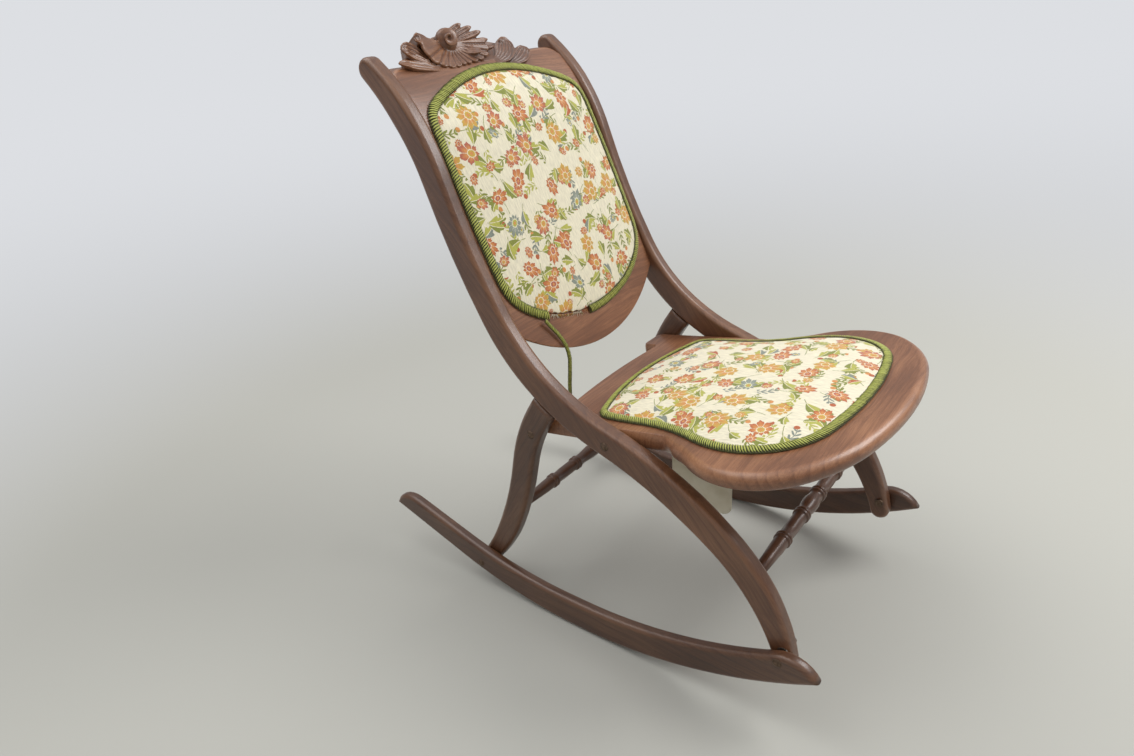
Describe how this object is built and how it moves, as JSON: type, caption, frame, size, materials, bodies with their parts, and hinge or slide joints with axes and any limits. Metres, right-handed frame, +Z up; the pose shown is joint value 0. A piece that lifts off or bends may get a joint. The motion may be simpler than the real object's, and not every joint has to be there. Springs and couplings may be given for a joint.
{
  "type": "folding rocking chair",
  "caption": "Folding wooden rocking chair with S-curved side rails, curved rockers, a carved crest, turned rungs and a braided floral seat and back",
  "frame": {"origin": "on the floor, at the middle of the chair's bounding box in plan", "axes": "+Z up, the sitter faces -Y, +X is the sitter's left side, and X = 0 is the plane of symmetry"},
  "size_m": [0.5078, 0.8311, 0.8998],
  "materials": {
    "frame_wood": "satin brown stain and varnish",
    "panel_wood": "satin brown stain and varnish",
    "tapestry": "woven floral tapestry",
    "braid": "woven olive braid",
    "tag_cloth": "plain cloth tag",
    "bolt_steel": "aged dark steel",
    "washer_steel": "plain steel"
  },
  "bodies": {
    "back_frame": {"rail_right": "frame_wood", "rail_left": "frame_wood", "back_panel": "panel_wood", "crest_carving": "frame_wood", "back_pad": "tapestry", "back_gimp": "braid", "loose_gimp_end": "braid", "front_rung": "frame_wood", "foot_bolts": "bolt_steel", "foot_nuts": "bolt_steel", "foot_washers": "washer_steel", "seat_bolts": "bolt_steel"},
    "seat": {"seat_board": "panel_wood", "seat_pad": "tapestry", "seat_gimp": "braid", "seat_washers": "washer_steel", "cloth_tag": "tag_cloth"},
    "legs": {"leg_right": "frame_wood", "leg_left": "frame_wood", "rear_rung": "frame_wood", "leg_bolts": "bolt_steel", "rear_nuts": "bolt_steel"},
    "rocker_right": {"rocker_right": "frame_wood", "rear_bolt_right": "bolt_steel"},
    "rocker_left": {"rocker_left": "frame_wood", "rear_bolt_left": "bolt_steel"}
  },
  "joints": [
    {"name": "seat_fold", "type": "hinge", "parent": "back_frame", "child": "seat", "pos_m": [0, -0.062, 0.355], "axis": [-1, 0, 0], "range_deg": [0, 105]},
    {"name": "leg_fold", "type": "hinge", "parent": "seat", "child": "legs", "pos_m": [0, 0.07631, 0.33334], "axis": [1, 0, 0], "range_deg": [0, 171.84]},
    {"name": "rocker_right_fold", "type": "hinge", "parent": "back_frame", "child": "rocker_right", "pos_m": [0, -0.341, 0.118], "axis": [1, 0, 0], "range_deg": [0, 19.74]},
    {"name": "rocker_left_fold", "type": "hinge", "parent": "back_frame", "child": "rocker_left", "pos_m": [0, -0.341, 0.118], "axis": [1, 0, 0], "range_deg": [0, 19.74]}
  ],
  "couplings": [
    {"joint": "leg_fold", "follows": "seat_fold", "ratio": 1.6364},
    {"joint": "rocker_right_fold", "follows": "seat_fold", "ratio": 0.1878},
    {"joint": "rocker_left_fold", "follows": "seat_fold", "ratio": 0.1878}
  ]
}
